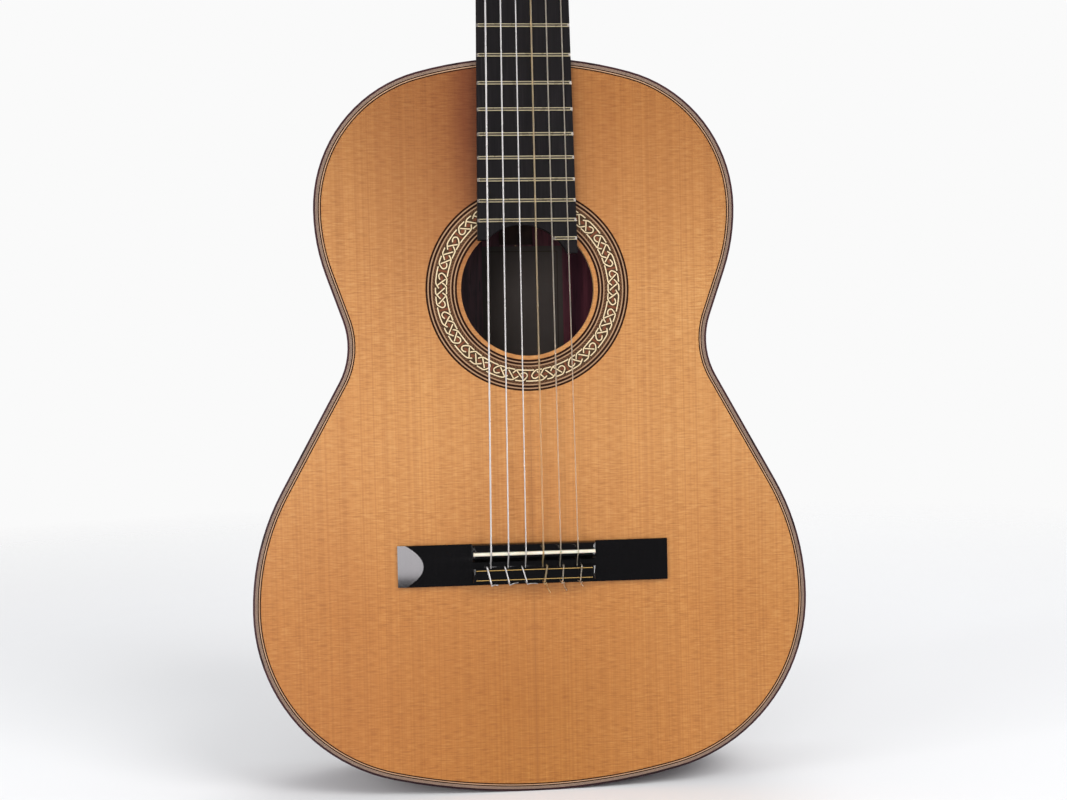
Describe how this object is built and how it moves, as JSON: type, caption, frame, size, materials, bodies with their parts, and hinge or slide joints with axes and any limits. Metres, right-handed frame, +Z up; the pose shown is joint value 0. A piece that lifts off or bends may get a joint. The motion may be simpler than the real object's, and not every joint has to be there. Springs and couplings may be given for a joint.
{
  "type": "classical guitar",
  "caption": "Classical guitar: figure-eight body with round sound hole and plaited rosette, tie bridge, flat fretted neck and slotted head with worm-driven string rollers.",
  "frame": {"origin": "tail end of the body, on its plane of symmetry, midway between front and back", "axes": "+Z up the neck from tail to head, -Y out of the soundboard towards the listener, +X to the treble side"},
  "size_m": [0.3698, 0.1162, 1.0036],
  "materials": {
    "cedar": "satin, fine vertical grain",
    "rosewood": "gloss, dark streaked grain",
    "binding_wood": "gloss",
    "maple_line": "gloss",
    "mosaic": "flush inlay under gloss",
    "brace_spruce": "bare, planed",
    "neck_cedar": "satin",
    "ebony": "polished",
    "bridge_ebony": "mirror polish",
    "bone": "polished",
    "gold_line": "polished",
    "fret_metal": "polished crowns",
    "plate_brass": "polished",
    "gear_brass": "machined",
    "shaft_steel": "plated",
    "screw_brass": "polished",
    "roller_plastic": "polished",
    "button_plastic": "pearl",
    "wound_string": "fine winding",
    "amber_string": "translucent nylon",
    "clear_string": "translucent nylon",
    "label_paper": "matt"
  },
  "bodies": {
    "root": {"soundboard": "cedar", "rosette_mosaic": "mosaic", "rosette_lines": "maple_line", "top_purfling": "maple_line", "bindings": "binding_wood", "side_bass": "rosewood", "side_treble": "rosewood", "tail_block": "brace_spruce", "linings": "brace_spruce", "harmonic_bars": "brace_spruce", "fan_braces": "brace_spruce", "soundhole_patch": "brace_spruce", "back_halves": "rosewood", "seam_inlays": "maple_line", "back_braces": "brace_spruce", "back_centre_strip": "brace_spruce", "label": "label_paper", "neck_shaft": "neck_cedar", "heel_block": "neck_cedar", "heel_cap": "rosewood", "headstock": "neck_cedar", "headplate": "rosewood", "fingerboard": "ebony", "frets": "fret_metal", "nut": "bone", "bridge": "bridge_ebony", "saddle": "bone", "tie_block_trim": "gold_line", "tuner_plates": "plate_brass", "plate_screws": "screw_brass", "string_6": "wound_string", "string_5": "wound_string", "string_4": "wound_string", "string_3": "amber_string", "string_2": "clear_string", "string_1": "clear_string"},
    "peg_6": {"worm_6": "shaft_steel", "button_6": "button_plastic"},
    "barrel_6": {"roller_6": "roller_plastic", "gear_6": "gear_brass"},
    "peg_5": {"worm_5": "shaft_steel", "button_5": "button_plastic"},
    "barrel_5": {"roller_5": "roller_plastic", "gear_5": "gear_brass"},
    "peg_4": {"worm_4": "shaft_steel", "button_4": "button_plastic"},
    "barrel_4": {"roller_4": "roller_plastic", "gear_4": "gear_brass"},
    "peg_3": {"worm_3": "shaft_steel", "button_3": "button_plastic"},
    "barrel_3": {"roller_3": "roller_plastic", "gear_3": "gear_brass"},
    "peg_2": {"worm_2": "shaft_steel", "button_2": "button_plastic"},
    "barrel_2": {"roller_2": "roller_plastic", "gear_2": "gear_brass"},
    "peg_1": {"worm_1": "shaft_steel", "button_1": "button_plastic"},
    "barrel_1": {"roller_1": "roller_plastic", "gear_1": "gear_brass"}
  },
  "joints": [
    {"name": "peg_6_turn", "type": "hinge", "parent": "root", "child": "peg_6", "pos_m": [-0.0402, -0.02369, 0.86997], "axis": [0, 0.9659, -0.2588], "continuous": true},
    {"name": "barrel_6_turn", "type": "hinge", "parent": "root", "child": "barrel_6", "pos_m": [-0.016, -0.02582, 0.86205], "axis": [1, 0, 0], "continuous": true},
    {"name": "peg_5_turn", "type": "hinge", "parent": "root", "child": "peg_5", "pos_m": [-0.0402, -0.01463, 0.90378], "axis": [0, 0.9659, -0.2588], "continuous": true},
    {"name": "barrel_5_turn", "type": "hinge", "parent": "root", "child": "barrel_5", "pos_m": [-0.016, -0.01676, 0.89586], "axis": [1, 0, 0], "continuous": true},
    {"name": "peg_4_turn", "type": "hinge", "parent": "root", "child": "peg_4", "pos_m": [-0.0402, -0.00558, 0.93759], "axis": [0, 0.9659, -0.2588], "continuous": true},
    {"name": "barrel_4_turn", "type": "hinge", "parent": "root", "child": "barrel_4", "pos_m": [-0.016, -0.0077, 0.92967], "axis": [1, 0, 0], "continuous": true},
    {"name": "peg_3_turn", "type": "hinge", "parent": "root", "child": "peg_3", "pos_m": [0.0402, -0.00558, 0.93759], "axis": [0, 0.9659, -0.2588], "continuous": true},
    {"name": "barrel_3_turn", "type": "hinge", "parent": "root", "child": "barrel_3", "pos_m": [0.016, -0.0077, 0.92967], "axis": [1, 0, 0], "continuous": true},
    {"name": "peg_2_turn", "type": "hinge", "parent": "root", "child": "peg_2", "pos_m": [0.0402, -0.01463, 0.90378], "axis": [0, 0.9659, -0.2588], "continuous": true},
    {"name": "barrel_2_turn", "type": "hinge", "parent": "root", "child": "barrel_2", "pos_m": [0.016, -0.01676, 0.89586], "axis": [1, 0, 0], "continuous": true},
    {"name": "peg_1_turn", "type": "hinge", "parent": "root", "child": "peg_1", "pos_m": [0.0402, -0.02369, 0.86997], "axis": [0, 0.9659, -0.2588], "continuous": true},
    {"name": "barrel_1_turn", "type": "hinge", "parent": "root", "child": "barrel_1", "pos_m": [0.016, -0.02582, 0.86205], "axis": [1, 0, 0], "continuous": true}
  ],
  "couplings": [
    {"joint": "barrel_6_turn", "follows": "peg_6_turn", "ratio": -0.0625},
    {"joint": "barrel_5_turn", "follows": "peg_5_turn", "ratio": -0.0625},
    {"joint": "barrel_4_turn", "follows": "peg_4_turn", "ratio": -0.0625},
    {"joint": "barrel_3_turn", "follows": "peg_3_turn", "ratio": 0.0625},
    {"joint": "barrel_2_turn", "follows": "peg_2_turn", "ratio": 0.0625},
    {"joint": "barrel_1_turn", "follows": "peg_1_turn", "ratio": 0.0625}
  ]
}
